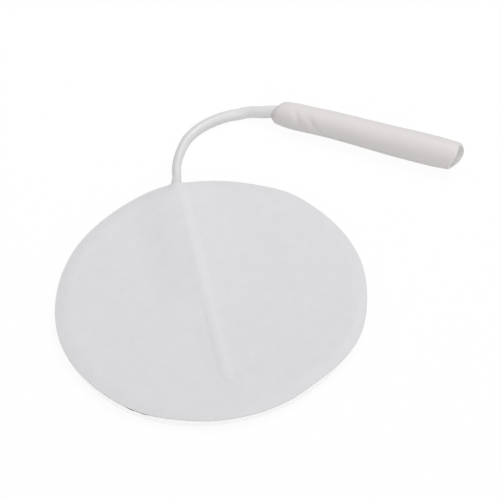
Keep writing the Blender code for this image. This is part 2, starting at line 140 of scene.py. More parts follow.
# Route of the lead: in the pad, then with y measured from the rim, and at the
# rise into the sleeve with its own heights
LEAD_X = -0.0008
HOOK_POINTS = [(0.0038, -0.0192), (0.0018, -0.0190), (0.0001, -0.0183)]
BARE_STRAIGHT_POINTS = [(LEAD_X, -0.0166), (LEAD_X, -0.0134), (LEAD_X, -0.0070)]
JACKET_START_Y = 0.0045
PAD_RUN_POINTS = [(LEAD_X, 0.0), (LEAD_X, 0.0120)]
RIM_POINTS = [(LEAD_X, -0.0040), (LEAD_X, 0.0002)]
FREE_POINTS = [
    (-0.00028, 0.0027), (0.00011, 0.0050), (0.00080, 0.0072), (0.00202, 0.0097),
    (0.00355, 0.0118), (0.00598, 0.0136), (0.00860, 0.01466), (0.01140, 0.01516),
    (0.01300, 0.0151),
]
RISE_POINTS = [
    (0.01440, 0.01494, 0.00119), (0.01570, 0.01445, 0.00144), (0.01715, 0.01362, 0.00180),
]
SLEEVE_ENTRY = 0.0004

# Ridge of the backing over the lead
RIDGE_CLEARANCE = 0.00006
RIDGE_LEFT = 0.0017
RIDGE_RIGHT = 0.0019
LEFT_CREST_SHARE = 0.12
LEFT_CREST_FADE_START = 0.008
LEFT_CREST_FADE = 0.008
LEFT_CREST_AT_RIM = 0.32
RIM_CREST_REACH = 0.0030
SPREAD_LEFT = 0.0090
SPREAD_RIGHT = 0.0085
SPREAD_SHARE = 0.50
RIDGE_RUN_OUT = 0.0058
SPREAD_RUN_OUT = 0.0100
RISE_SHARE = 0.85
TENT_REACH = 0.0060
TENT_LIFT = 0.00012
BARE_CREST = 0.0011
BARE_CREST_SHARE = 0.45
BARE_FLAT = 0.00015
BARE_LEFT = 0.0030
BARE_RIGHT = 0.0020
BARE_SIDES_BLEND = 0.002
HOOK_NEAR = 0.0030
HOOK_NEAR_BLEND = 0.001
HOOK_FAR = 0.0040
HOOK_FAR_EASE = 0.003
HOOK_FAR_REACH = 0.003
HOOK_FAR_BLEND = 0.004
HOOK_CREST_SHARE = 0.15
HOOK_END_PRESS = 0.00018
HOOK_END_REACH = 0.0030
GROOVE_SKIRT = 0.00235

# Sleeve
SLEEVE_WIRE_END = (0.01900, 0.01275)
SLEEVE_HEADING = math.radians(-35.6)
SLEEVE_LENGTH = 0.0339
CONE_LENGTH = 0.0009
SHOULDER_LENGTH = 0.0046
BELLY_START = 0.0063
NOSE_LENGTH = 0.0050
NECK_RADIUS = 0.00122
CONE_RADIUS = 0.00200
SHOULDER_RADIUS = 0.002335
BELLY_RADIUS = 0.00262
NOSE_RADIUS = 0.00241
NOSE_POWER = 1.6
NOSE_ROUNDING = 0.00043
SHOULDER_SHARPNESS = 20000.0
WIRE_BORE = 0.00111
CONTACT_BORE = 0.00142
BORE_STEP = 0.00006
MOUTH_LIP = 0.00054
MOUTH_LEAD_IN = 0.0018
MOUTH_SLANT = 0.00050
MOUTH_WAVE = 0.00032
MOUTH_SET_BACK = 0.00030
MOUTH_TURN = math.radians(50.0)
MOUTH_REACH = 0.006
WIRE_END_SLANT = 0.0004
WIRE_END_SET_BACK = 0.0002
WIRE_END_TURN = math.radians(46.0)
WIRE_END_REACH = 0.003
BOW = 0.00016
BOW_MIDDLE = 0.0120
BOW_REACH = 0.0110
BOW_TURN = math.radians(46.0)
SLEEVE_SIDES = 128
FINE_ROWS_LENGTH = 0.0105
FINE_ROWS = 66
WALL_ROWS = 70
LIP_ROWS = 9
FUNNEL_SHARES = (0.02, 0.15, 0.4, 0.7, 1.0)

# Creases behind the shoulder, as (distance from the wire end, lean to the radian,
# turn where it has that distance, width, turn of its middle, reach round, depth)
CREASES = [
    (0.0048, 0.0010, -0.58, 0.0006, math.radians(-45.0), 1.1, 0.00014),
    (0.0068, 0.0021, -0.42, 0.0007, math.radians(-75.0), 1.3, 0.00018),
]

# Socket contact
STRIP_THICKNESS = 0.00025
PIN_BORE_DIAMETER = 0.00205
BARREL_WAIST = 0.00005
BARREL_FLARE = 0.00008
BARREL_LENGTH = 0.0115
NECK_LENGTH = 0.0024
WIRE_CRIMP_LENGTH = 0.0030
WINDOW_LENGTH = 0.0012
JACKET_CRIMP_LENGTH = 0.0024
CONTACT_RECESS = 0.0022
CRIMP_CLEARANCE = 0.00003
SLIT_WIDTH = 0.00030
TROUGH_HALF_ANGLE = math.radians(75.0)
TROUGH_EASE = 0.0002
CONTACT_ROWS = 220
CONTACT_COLUMNS = 60
CONTACT_SMOOTHING = 7
CONTACT_LENGTH = (JACKET_CRIMP_LENGTH + WINDOW_LENGTH + WIRE_CRIMP_LENGTH
                  + NECK_LENGTH + BARREL_LENGTH)
CONTACT_START = SLEEVE_LENGTH - CONTACT_RECESS - CONTACT_LENGTH
JACKET_INTO_SLEEVE = CONTACT_START + JACKET_CRIMP_LENGTH
STRANDS_INTO_SLEEVE = JACKET_INTO_SLEEVE + WINDOW_LENGTH + WIRE_CRIMP_LENGTH

# Bore of the sleeve round the contact, mouth first, as (distance from the wire end, radius)
BORE_STATIONS = [
    (CONTACT_START + 0.012, CONTACT_BORE), (CONTACT_START, CONTACT_BORE),
    (CONTACT_START - BORE_STEP, WIRE_BORE), (0.006, WIRE_BORE), (0.0, WIRE_BORE),
]

# Light: how brightly each source would show a white surface that faces it
SKY_LEVEL = 0.486
KEY_LEVEL = 0.335
KEY_PLACE = (0.116, 0.102, 0.303)
KEY_AIM = (-0.480, 0.110, 0.0)
KEY_SIZE = 0.20
FILL_LEVEL = 0.29
FILL_PLACE = (0.15, -0.80, 0.58)
FILL_AIM = (0.0, 0.0, 0.0)
FILL_SIZE = 0.70
FLOOR_ALBEDO = 0.76
FLOOR_GLOW_SHARE = 0.90
FLOOR_SIZE = 8.0
WHITE = (1.0, 1.0, 1.0, 1.0)

# Every mesh: how near two points are one, and from what angle an edge looks sharp
WELD_DISTANCE = 1e-8
SHARP_ANGLE = math.radians(50.0)


# Numbers on arrays

def ease(value):
    """Smooth step from 0 to 1, flat at both ends."""
    value = np.clip(value, 0.0, 1.0)
    return value * value * (3.0 - 2.0 * value)


def hump(offset, half_width, flat=0.0):
    """A cosine bump: 1 as far as flat, falling to 0 at half_width."""
    share = np.clip((np.abs(offset) - flat) / (half_width - flat), 0.0, 1.0)
    return 0.5 * (1.0 + np.cos(np.pi * share))


def bell(angle, centre_degrees, width_degrees):
    """A bell curve round the circle, 1 at its centre."""
    off = np.angle(np.exp(1j * (angle - math.radians(centre_degrees))))
    return np.exp(-((off / math.radians(width_degrees)) ** 2))


def bells(angle, places):
    """The sum of bell curves round the circle, each with its height, centre and width."""
    return sum(height * bell(angle, centre, width) for height, centre, width in places)


# Meshes

def signed_volume(points, faces):
    """Volume inside the faces, below zero where they point inwards."""
    a, b, c, d = (points[faces[:, corner]] for corner in range(4))
    first = np.einsum("ij,ij->i", a, np.cross(b, c))
    second = np.einsum("ij,ij->i", a, np.cross(c, d))
    return (first + second).sum() / 6.0


def skin(name, grid, finish, rows_meet=False):
    """A piece from a grid of points (rows, columns, 3) whose columns meet round the back.

    Rows that shrink to a point are welded there, and the faces are turned
    outwards by the sign of the volume that they hold. Where the rows meet
    too, the last one is joined to the first.
    """
    rows, columns = grid.shape[:2]
    index = np.arange(rows * columns).reshape(rows, columns)
    if rows_meet:
        index = np.vstack([index, index[:1]])
    after = np.roll(index, -1, axis=1)
    faces = np.stack([index[:-1], after[:-1], after[1:], index[1:]], axis=-1).reshape(-1, 4)
    points = grid.reshape(-1, 3)
    if signed_volume(points, faces) < 0.0:
        faces = faces[:, ::-1]
    mesh = bpy.data.meshes.new(name)
    mesh.from_pydata(points, [], faces)
    work = bmesh.new()
    work.from_mesh(mesh)
    bmesh.ops.remove_doubles(work, verts=work.verts, dist=WELD_DISTANCE)
    work.to_mesh(mesh)
    work.free()
    mesh.shade_smooth()
    mesh.set_sharp_from_angle(angle=SHARP_ANGLE)
    mesh.materials.append(finish)
    piece = bpy.data.objects.new(name, mesh)
    bpy.context.scene.collection.objects.link(piece)
    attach(piece, "root")
    return piece


# Shader nodes

class Signal:
    """A node's output. Sums and products of values that vary over a surface add Math nodes."""

    def __init__(self, nodes, socket):
        self.nodes = nodes
        self.socket = socket

    def math(self, operation, first, second):
        return self.nodes.node("ShaderNodeMath", {"operation": operation}, {0: first, 1: second})

    def __add__(self, other):
        return self.math("ADD", self, other)

    __radd__ = __add__

    def __mul__(self, other):
        return self.math("MULTIPLY", self, other)

    __rmul__ = __mul__


class Nodes:
    """A node tree, with one method that adds any node."""

    def __init__(self, tree):
        self.tree = tree

    def node(self, kind, settings, inputs, output=0):
        """Add a node: its settings first, then the values or links of its sockets."""
        made = self.tree.nodes.new(kind)
        for key, value in settings.items():
            setattr(made, key, value)
        for key, value in inputs.items():
            self.feed(made.inputs[key], value)
        return Signal(self, made.outputs[output])

    def feed(self, socket, value):
        """Give a socket a number or colour, or link a signal to it."""
        if isinstance(value, Signal):
            self.tree.links.new(value.socket, socket)
        else:
            socket.default_value = value

    def seen(self):
        """1 for rays from the camera, in reflections and through clear pieces, and 0 for light."""
        camera, glossy, through = (
            self.node("ShaderNodeLightPath", {}, {}, output=name)
            for name in ("Is Camera Ray", "Is Glossy Ray", "Is Transmission Ray"))
        return self.node("ShaderNodeClamp", {}, {"Value": camera + glossy + through})

    def surface(self, output_node, shader, unused):
        """Give the tree's output a shader in place of the one that the tree came with."""
        self.feed(self.tree.nodes[output_node].inputs["Surface"], shader)
        self.tree.nodes.remove(self.tree.nodes[unused])


class Finish(Nodes):
    """A material with a Principled shader."""

    def __init__(self, name, roughness, metallic=0.0):
        self.material = bpy.data.materials.new(name)
        self.material.use_nodes = True
        super().__init__(self.material.node_tree)
        self.shader = self.tree.nodes["Principled BSDF"]
        self.set({"Roughness": roughness, "Metallic": metallic})

    def set(self, inputs):
        """Feed the Principled shader's sockets."""
        for key, value in inputs.items():
            self.feed(self.shader.inputs[key], value)

    def place(self):
        """Object coordinates, in metres."""
        return self.node("ShaderNodeTexCoord", {}, {}, output="Object")

    def turned(self, place, degrees, scale):
        """Coordinates turned about each axis and stretched."""
        angles = tuple(math.radians(value) for value in degrees)
        return self.node("ShaderNodeMapping", {},
                         {"Vector": place, "Rotation": angles, "Scale": scale})

    def noise(self, place, scale, detail=2.0, roughness=0.5):
        """Cloudy noise from 0 to 1, with scale cells to the metre."""
        return self.node("ShaderNodeTexNoise", {},
                         {"Vector": place, "Scale": scale, "Detail": detail, "Roughness": roughness})

    def mix(self, factor, first, second):
        """A colour between two colours."""
        return self.node("ShaderNodeMix", {"data_type": "RGBA"},
                         {0: factor, 6: (*first, 1.0), 7: (*second, 1.0)}, output=2)

    def spread(self, value, low, high):
        """Stretch the part of a signal between low and high over 0 to 1."""
        return self.node("ShaderNodeMapRange", {"clamp": True},
                         {"Value": value, "From Min": low, "From Max": high})

    def relief(self, height, depth):
        """Bump from a height signal whose 0 to 1 is depth metres."""
        self.set({"Normal": self.node("ShaderNodeBump", {},
                                      {"Strength": 1.0, "Distance": depth, "Height": height})})


# Finishes

def nonwoven_finish():
    """Matt white cloth of fine fibres that lie three ways, slightly uneven in density."""
    cloth = Finish("nonwoven", 0.88)
    place = cloth.place()
    fibres = 0.0
    for degrees in (12.0, 71.0, 134.0):
        along = cloth.turned(place, (0.0, 0.0, degrees), (1.0, 0.07, 1.0))
        fibres = cloth.noise(along, 14000.0, detail=2.0) + fibres
    cloud = cloth.noise(place, 420.0, detail=4.0, roughness=0.6)
    density = cloth.spread(0.8 * cloud + 0.07 * fibres, 0.34, 0.68)
    cloth.set({"Base Color": cloth.mix(density, (0.754, 0.747, 0.765), (0.778, 0.770, 0.787)),
               "Specular IOR Level": 0.25})
    cloth.relief(fibres + 1.6 * cloud, 0.000018)
    return cloth.material


def carbon_finish():
    """Black carbon-filled film with a faint grain."""
    film = Finish("carbon_film", 0.5)
    place = film.place()
    grain = film.noise(place, 9000.0, detail=3.0)
    film.set({"Base Color": film.mix(grain, (0.020, 0.020, 0.022), (0.040, 0.040, 0.042)),
              "Roughness": 0.42 + 0.2 * grain})
    film.relief(grain, 0.000008)
    return film.material


def gel_finish():
    """Clear wet gel with slow waves in its surface."""
    gel = Finish("hydrogel", 0.08)
    place = gel.place()
    waves = gel.noise(place, 500.0, detail=2.0)
    gel.set({"Base Color": gel.mix(waves, (0.985, 0.975, 0.955), (0.995, 0.990, 0.980)),
             "Transmission Weight": 0.6, "IOR": 1.12, "Alpha": 0.14})
    gel.relief(waves, 0.00006)
    return gel.material


def vinyl_finish():
    """Satin white vinyl of the lead, faintly wavy, with painted light that lightens it towards the
    sleeve.
    """
    vinyl = Finish("lead_vinyl", 0.4)
    place = vinyl.place()
    waves = vinyl.noise(place, 700.0, detail=2.0)
    skin_grain = vinyl.noise(place, 9000.0, detail=2.0)
    across = vinyl.node("ShaderNodeSeparateXYZ", {}, {"Vector": place})
    # painted light: the colour lightens along X towards the sleeve, standing in for brighter light
    # there, on top of the vinyl's own faint waves
    waves_and_painted_light = 0.28 * waves + 0.86 * vinyl.spread(across, PAINTED_LIGHT_FROM, PAINTED_LIGHT_TO)
    vinyl.set({"Base Color": vinyl.mix(waves_and_painted_light, (0.700, 0.694, 0.696), (0.780, 0.771, 0.774)),
               "Roughness": 0.34 + 0.12 * skin_grain, "Specular IOR Level": 0.7})
    vinyl.relief(waves + 0.2 * skin_grain, 0.000030)
    return vinyl.material


def sleeve_finish():
    """Soft moulded vinyl of the sleeve, a little warmer and duller than the lead."""
    soft = Finish("sleeve_vinyl", 0.5)
    place = soft.place()
    cloud = soft.noise(place, 260.0, detail=3.0)
    skin_grain = soft.noise(place, 6000.0, detail=3.0)
    soft.set({"Base Color": soft.mix(cloud, (0.743, 0.713, 0.705), (0.769, 0.742, 0.734)),
              "Roughness": 0.44 + 0.14 * skin_grain})
    soft.relief(0.6 * cloud + 0.25 * skin_grain, 0.000040)
    return soft.material


def metal_finish(name, dark, light, heading_degrees):
    """Plated metal with fine lines drawn along its length."""
    metal = Finish(name, 0.3, metallic=1.0)
    place = metal.place()
    along = metal.turned(place, (0.0, 0.0, heading_degrees), (0.06, 1.0, 1.0))
    lines = metal.noise(along, 9000.0, detail=3.0)
    tarnish = metal.noise(place, 900.0, detail=3.0)
    metal.set({"Base Color": metal.mix(tarnish, dark, light), "Roughness": 0.20 + 0.22 * lines})
    metal.relief(lines, 0.000006)
    return metal.material


# Pad

def lead_share(y, run_out):
    """1 over the insulated lead, easing to 0 over the run-out before it."""
    return ease((y - (JACKET_START_Y - run_out)) / (RISE_SHARE * run_out))


def bare_hump(x, y):
    """1 over the bare strands, 0 away from them: a narrow crest on a wider bump.

    The distance is to the nearest of the straight pieces between the points.
    The bump is widest on the hook's far side, and the crest is faint there and
    on its near side.
    """
    ends = np.array(HOOK_POINTS + BARE_STRAIGHT_POINTS[:1] + [(LEAD_X, JACKET_START_Y)])
    nearest = np.full(x.shape, PAD_RADIUS)
    for start, end in zip(ends, ends[1:]):
        run = end - start
        along = np.clip(((x - start[0]) * run[0] + (y - start[1]) * run[1]) / (run @ run), 0.0, 1.0)
        off = np.hypot(x - start[0] - along * run[0], y - start[1] - along * run[1])
        nearest = np.minimum(nearest, off)
    hook_y = HOOK_POINTS[0][1]
    left = ease(0.5 - (x - LEAD_X) / BARE_SIDES_BLEND)
    near = ease(0.5 + (hook_y - y) / HOOK_NEAR_BLEND)
    far = (ease((x - LEAD_X) / HOOK_FAR_EASE)
           * ease(0.5 - (y - hook_y - HOOK_FAR_REACH) / HOOK_FAR_BLEND))
    skirt = BARE_RIGHT + (BARE_LEFT - BARE_RIGHT) * left
    skirt = skirt + (HOOK_FAR - skirt) * far
    skirt = skirt + (HOOK_NEAR - skirt) * near
    crest = BARE_CREST_SHARE + (HOOK_CREST_SHARE - BARE_CREST_SHARE) * np.maximum(near, far)
    return (crest * hump(nearest, BARE_CREST, BARE_FLAT)
            + (1.0 - crest) * hump(nearest, skirt, BARE_FLAT))


def sink(x, y):
    """How far gel and film are pressed down under the conductor."""
    over_lead = lead_share(y, RIDGE_RUN_OUT) * hump(x - LEAD_X, GROOVE_SKIRT)
    return np.maximum(LEAD_SINK * over_lead, BARE_SINK * bare_hump(x, y))


def lift(x, y):
    """How far the backing rises over the conductor.

    Each flank is a narrow crest on a wide bump. The left one's crest fades
    along the lead and comes back at the rim, where the ridge rises a little
    more, like a tent. The bare strands' ridge runs up on the end of it.
    """
    tent = ease((y - (PAD_RADIUS - TENT_REACH)) / TENT_REACH)
    over_lead = LEAD_AXIS_HEIGHT + JACKET_RADIUS + RIDGE_CLEARANCE - BACKING_UNDERSIDE
    over_bare = LEAD_AXIS_HEIGHT + BUNDLE_RADIUS + RIDGE_CLEARANCE - BACKING_UNDERSIDE
    off = x - LEAD_X
    at_rim = ease((y - (PAD_RADIUS - RIM_CREST_REACH)) / RIM_CREST_REACH)
    fade = ease((y - LEFT_CREST_FADE_START) / LEFT_CREST_FADE)
    crest = LEFT_CREST_SHARE * (1.0 - fade) + LEFT_CREST_AT_RIM * at_rim
    left = crest * hump(off, RIDGE_LEFT) + (1.0 - crest) * hump(off, SPREAD_LEFT)
    right = (1.0 - SPREAD_SHARE) * hump(off, RIDGE_RIGHT) + SPREAD_SHARE * hump(off, SPREAD_RIGHT)
    share = lead_share(y, SPREAD_RUN_OUT)
    lead = (over_lead + TENT_LIFT * tent) * share * np.where(off < 0.0, left, right)
    return lead + over_bare * (1.0 - share) * bare_hump(x, y)


def droop(x, y):
    """How far the rim curls down, most of all at the lower right."""
    share = ease((np.hypot(x, y) / PAD_RADIUS - CURL_START) / (1.0 - CURL_START))
    return share * bells(np.arctan2(y, x), RIM_CURLS)


def unevenness(x, y):
    """Slow waves of a soft disc: a sum of sines, a few hundredths of a millimetre high."""
    return WAVE_HEIGHT * sum(share * np.sin(along_x * x + along_y * y + phase)
                             for share, along_x, along_y, phase in WAVES)


def rim_radius(angle):
    """The cut edge of the backing: a circle with slight high and low places round it."""
    return PAD_RADIUS + bells(angle, RIM_HIGH_PLACES) - bells(angle, RIM_LOW_PLACES)


def film_radius(angle):
    """Edge of the film, which shows as a dark hairline where the backing is cut short of it."""
    return (rim_radius(angle) - FILM_INSET + bells(angle, FILM_SHOWS)
            + FILM_RAGGED * np.sin(FILM_TEETH * angle))


def gel_radius(angle):
    """Edge of the gel, which creeps out a little at the lower left."""
    return PAD_RADIUS - GEL_INSET + bells(angle, GEL_CREEP)


def disc(radius, underside, top, rounding, points):
    """Grid over a closed disc: out over the top, round the edge and back underneath.

    A point at share p of the way out and at angle a lies at p * radius(a),
    and the edge is half a squarish oval. The angles crowd together round the
    lead, at a quarter and three quarters of the way round, and the shares
    crowd together towards the edge.
    """
    columns, rows = points
    share = np.linspace(0.0, 2.0 * np.pi, columns, endpoint=False)
    angle = share + CROWD_ROUND * np.sin(2.0 * share)
    reach = radius(angle) - rounding
    out = np.sin(np.linspace(0.0, CROWD_OUT, rows)) / math.sin(CROWD_OUT)
    x = out[:, None] * reach * np.cos(angle)
    y = out[:, None] * reach * np.sin(angle)
    upper = np.stack([x, y, top(x, y)], axis=-1)
    lower = np.stack([x, y, underside(x, y)], axis=-1)
    turn = np.linspace(np.pi / 2, -np.pi / 2, EDGE_ROWS + 2)[1:-1, None]
    edge_out = reach + rounding * np.cos(turn) ** EDGE_SQUARENESS
    middle = (upper[-1, :, 2] + lower[-1, :, 2]) / 2
    half = (upper[-1, :, 2] - lower[-1, :, 2]) / 2
    edge_high = middle + half * np.sign(np.sin(turn)) * np.abs(np.sin(turn)) ** EDGE_SQUARENESS
    edge = np.stack([edge_out * np.cos(angle), edge_out * np.sin(angle), edge_high], axis=-1)
    return np.concatenate([upper, edge, lower[::-1]])


def backing_under(x, y):
    """Underside of the backing."""
    return BACKING_UNDERSIDE + lift(x, y) - droop(x, y) + unevenness(x, y)


def backing_over(x, y):
    """Top of the backing, pinched thin at its cut edge and pressed flatter at the hook's end."""
    from_edge = rim_radius(np.arctan2(y, x)) - np.hypot(x, y)
    near_edge = np.clip(1.0 - from_edge / EDGE_PINCH_WIDTH, 0.0, 1.0)
    pinch = EDGE_PINCH * near_edge ** EDGE_PINCH_POWER
    hook_x, hook_y = HOOK_POINTS[0]
    fade = hump(np.hypot(x - hook_x, y - hook_y), HOOK_END_REACH)
    press = HOOK_END_PRESS * fade * bare_hump(x, y)
    return backing_under(x, y) + BACKING_THICKNESS - pinch - press


def film_over(x, y):
    """Top of the film, a gap under the flat backing."""
    return FILM_TOP - sink(x, y) - droop(x, y) + unevenness(x, y)


def film_under(x, y):
    """Underside of the film."""
    return film_over(x, y) - FILM_THICKNESS


def gel_over(x, y):
    """Top of the gel, a gap under the film."""
    return film_under(x, y) - LAYER_GAP


def gel_under(x, y):
    """The flat skin face."""
    return np.zeros_like(x)


def make_pad():
    """The three layers."""
    cloth = skin("nonwoven_backing",
                 disc(rim_radius, backing_under, backing_over, BACKING_ROUNDING, CLOTH_GRID),
                 nonwoven_finish())
    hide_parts("backing")
    film = skin("conductive_film",
                disc(film_radius, film_under, film_over, FILM_ROUNDING, LAYER_GRID),
                carbon_finish())
    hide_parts("carbon_film")
    gel = skin("clear_gel",
               disc(gel_radius, gel_under, gel_over, GEL_ROUNDING, LAYER_GRID),
               gel_finish())
    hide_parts("hydrogel")


# Lead

def smooth_curve(points, samples=24):
    """Centripetal Catmull-Rom curve through all the points."""
    knots = np.array(points, dtype=float)
    knots = np.vstack([2 * knots[0] - knots[1], knots, 2 * knots[-1] - knots[-2]])
    pieces = []
    for before, start, end, after in zip(knots, knots[1:], knots[2:], knots[3:]):
        t1 = np.linalg.norm(start - before) ** 0.5
        t2 = t1 + np.linalg.norm(end - start) ** 0.5
        t3 = t2 + np.linalg.norm(after - end) ** 0.5
        t = np.linspace(t1, t2, samples, endpoint=False)[:, None]
        a1 = (t1 - t) / t1 * before + t / t1 * start
        a2 = (t2 - t) / (t2 - t1) * start + (t - t1) / (t2 - t1) * end
        a3 = (t3 - t) / (t3 - t2) * end + (t - t2) / (t3 - t2) * after
        b1 = (t2 - t) / t2 * a1 + t / t2 * a2
        b2 = (t3 - t) / (t3 - t1) * a2 + (t - t1) / (t3 - t1) * a3
        pieces.append((t2 - t) / (t2 - t1) * b1 + (t - t1) / (t2 - t1) * b2)
    return np.vstack(pieces + [knots[-2:-1]])


def distances(path):
    """Distance along a path at each of its points."""
    steps = np.linalg.norm(np.diff(path, axis=0), axis=1)
    return np.concatenate([[0.0], np.cumsum(steps)])


def spaced(path, start, end, count):
    """Points evenly spaced along a path, between two distances along it."""
    wanted = np.linspace(start, end, count)
    return np.stack([np.interp(wanted, distances(path), path[:, axis]) for axis in range(3)], axis=1)


def from_rim(place, height):
    """A point given by its place from the lead's exit at the rim, and its height."""
    return (place[0], PAD_RADIUS + place[1], height)


def sleeve_frame():
    """Matrix that lays the sleeve along its heading, on its shoulder and its belly.

    Its X points up, its Y to the far side and its Z along the sleeve.
    """
    span = SLEEVE_LENGTH - NOSE_LENGTH - SHOULDER_LENGTH
    climb = math.asin((BELLY_RADIUS - SHOULDER_RADIUS) / span)
    along = Vector((math.cos(SLEEVE_HEADING) * math.cos(climb),
                    math.sin(SLEEVE_HEADING) * math.cos(climb), math.sin(climb)))
    side = Vector((-math.sin(SLEEVE_HEADING), math.cos(SLEEVE_HEADING), 0.0))
    made = Matrix((along.cross(side), side, along)).transposed().to_4x4()
    height = (SHOULDER_RADIUS / math.cos(climb) - SHOULDER_LENGTH * math.sin(climb)
              + FLOOR_CLEARANCE)
    made.translation = from_rim(SLEEVE_WIRE_END, height)
    return made


def in_frame(matrix, grid):
    """Points given in a frame, as points of the model."""
    placed = np.array(matrix)
    return grid @ placed[:3, :3].T + placed[:3, 3]


def conductor_path(sleeve):
    """The line that the whole conductor follows, bare end first."""
    in_pad = [(x, y, LEAD_AXIS_HEIGHT)
              for x, y in HOOK_POINTS + BARE_STRAIGHT_POINTS + PAD_RUN_POINTS]
    rim = [from_rim(place, LEAD_AXIS_HEIGHT) for place in RIM_POINTS]
    free = [from_rim(place, TABLE_AXIS_HEIGHT) for place in FREE_POINTS]
    rising = [from_rim(place, place[2]) for place in RISE_POINTS]
    on_axis = (SLEEVE_ENTRY, 0.35 * JACKET_INTO_SLEEVE, 0.7 * JACKET_INTO_SLEEVE,
               STRANDS_INTO_SLEEVE)
    inside = [tuple(sleeve @ Vector((0.0, 0.0, distance))) for distance in on_axis]
    return smooth_curve(in_pad + rim + free + rising + inside)


def carried_frames(path):
    """A normal and a binormal at each point, level with the table."""
    tangents = np.gradient(path, axis=0)
    tangents /= np.linalg.norm(tangents, axis=1)[:, None]
    side = np.cross(tangents, (0.0, 0.0, 1.0))
    side /= np.linalg.norm(side, axis=1)[:, None]
    return side, np.cross(side, tangents)


def make_lead(sleeve):
    """The insulation: a tube carried along the conductor's line.

    A point of the section is the line's point plus the radius times
    (side * cos + up * sin). The radius is least just past the rim and swells
    towards the sleeve, and the wall is turned in to the bore at both ends.
    """
    path = conductor_path(sleeve)
    start = distances(path)[int(np.argmax(path[:, 1] >= JACKET_START_Y))]
    end = distances(path)[-1] - (STRANDS_INTO_SLEEVE - JACKET_INTO_SLEEVE)
    line = spaced(path, start, end, JACKET_RINGS)
    along = distances(line)
    rim_at = PAD_RADIUS - JACKET_START_Y
    sleeve_at = along[-1] - JACKET_INTO_SLEEVE
    stations = np.array([(rim_at + past, radius) for past, radius in RADII_PAST_RIM]
                        + [(sleeve_at + past, radius) for past, radius in RADII_PAST_SLEEVE_END])
    outer = np.interp(along, stations[:, 0], stations[:, 1])
    side, up = carried_frames(line)
    turn = np.linspace(0.0, 2.0 * np.pi, JACKET_SIDES, endpoint=False)[:, None]
    ring = side[:, None] * np.cos(turn) + up[:, None] * np.sin(turn)
    outside = line[:, None] + ring * outer[:, None, None]
    inside = line[:, None] + ring * (JACKET_RADIUS - JACKET_WALL)
    front = (line[0] - JACKET_END_STEP * (line[1] - line[0])
             + ring[0] * (outer[0] - JACKET_END_ROUNDING))
    back = (line[-1] + JACKET_END_STEP * (line[-1] - line[-2])
            + ring[-1] * (outer[-1] - JACKET_END_ROUNDING))
    grid = np.concatenate([front[None], outside, back[None], inside[::-1]])
    piece = skin("vinyl_lead", grid, vinyl_finish(), rows_meet=True)
    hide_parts("lead_jacket")


# Connector

def soft_least(first, second):
    """The lesser of two radii, with the corner between them rounded."""
    sharp = SHOULDER_SHARPNESS
    return -np.log(np.exp(-sharp * first) + np.exp(-sharp * second)) / sharp


def sleeve_outside(z, turn):
    """Radius of the sleeve's outside at distance z from its wire end.

    The shoulder is a steep cone from the neck and then a parabola. A parallel
    run, a slight belly and a nose follow, and the whole bows a little to one
    side. Each crease is a bell along the sleeve and a bump round it, and its
    place along the sleeve leans as it goes round.
    """
    cone = NECK_RADIUS + (CONE_RADIUS - NECK_RADIUS) * z / CONE_LENGTH
    share = np.clip((z - CONE_LENGTH) / (SHOULDER_LENGTH - CONE_LENGTH), 0.0, 1.0)
    shoulder = SHOULDER_RADIUS - (SHOULDER_RADIUS - CONE_RADIUS) * (1.0 - share) ** 2
    nose_start = SLEEVE_LENGTH - NOSE_LENGTH
    belly = (BELLY_RADIUS - SHOULDER_RADIUS) * ease((z - BELLY_START) / (nose_start - BELLY_START))
    into_nose = np.clip((z - nose_start) / NOSE_LENGTH, 0.0, 1.0)
    nose = (BELLY_RADIUS - NOSE_RADIUS) * into_nose ** NOSE_POWER
    bow = BOW * hump(z - BOW_MIDDLE, BOW_REACH) * np.cos(turn - BOW_TURN)
    radius = soft_least(cone, shoulder) + belly - nose + bow
    for distance, lean, level_at, width, middle, reach, depth in CREASES:
        crease = distance - lean * (turn - level_at)
        radius = radius - depth * np.exp(-(((z - crease) / width) ** 2)) * hump(turn - middle, reach)
    return radius


def make_sleeve(place):
    """The soft sleeve: a section turned about the axis, with both ends cut a little askew.

    The section runs up the outside from the wire end, round the lip, down the
    mouth's funnel and down the stepped bore.
    """
    turn = np.linspace(-np.pi, np.pi, SLEEVE_SIDES, endpoint=False)
    lip_start = SLEEVE_LENGTH - NOSE_ROUNDING
    wall_z = np.concatenate([np.linspace(0.0, FINE_ROWS_LENGTH, FINE_ROWS),
                             np.linspace(FINE_ROWS_LENGTH, lip_start, WALL_ROWS)[1:]])[:, None]
    wall = sleeve_outside(wall_z, turn)
    lip = np.linspace(0.0, np.pi / 2, LIP_ROWS)[1:, None]
    funnel = np.array(FUNNEL_SHARES)[:, None]
    mouth = wall[-1] - MOUTH_LIP
    bore = np.array(BORE_STATIONS)
    radius = np.concatenate([wall, wall[-1] - NOSE_ROUNDING + NOSE_ROUNDING * np.cos(lip),
                             mouth + (CONTACT_BORE - mouth) * funnel, bore[:, 1:] + 0.0 * turn])
    z = np.concatenate([wall_z, lip_start + NOSE_ROUNDING * np.sin(lip),
                        SLEEVE_LENGTH - MOUTH_LEAD_IN * funnel, bore[:, :1]])
    mouth_askew = (MOUTH_SLANT * np.cos(turn - MOUTH_TURN)
                   + MOUTH_WAVE * np.cos(2.0 * (turn + MOUTH_TURN)) - MOUTH_SET_BACK)
    wire_end_askew = WIRE_END_SET_BACK + WIRE_END_SLANT * np.cos(turn - WIRE_END_TURN)
    z = (z + mouth_askew * ease((z - (SLEEVE_LENGTH - MOUTH_REACH)) / MOUTH_REACH)
         + wire_end_askew * ease(1.0 - z / WIRE_END_REACH))
    grid = np.stack([radius * np.cos(turn), radius * np.sin(turn), z], axis=-1)
    piece = skin("soft_sleeve", in_frame(place, grid), sleeve_finish(), rows_meet=True)
    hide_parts("connector_sleeve")
    return piece


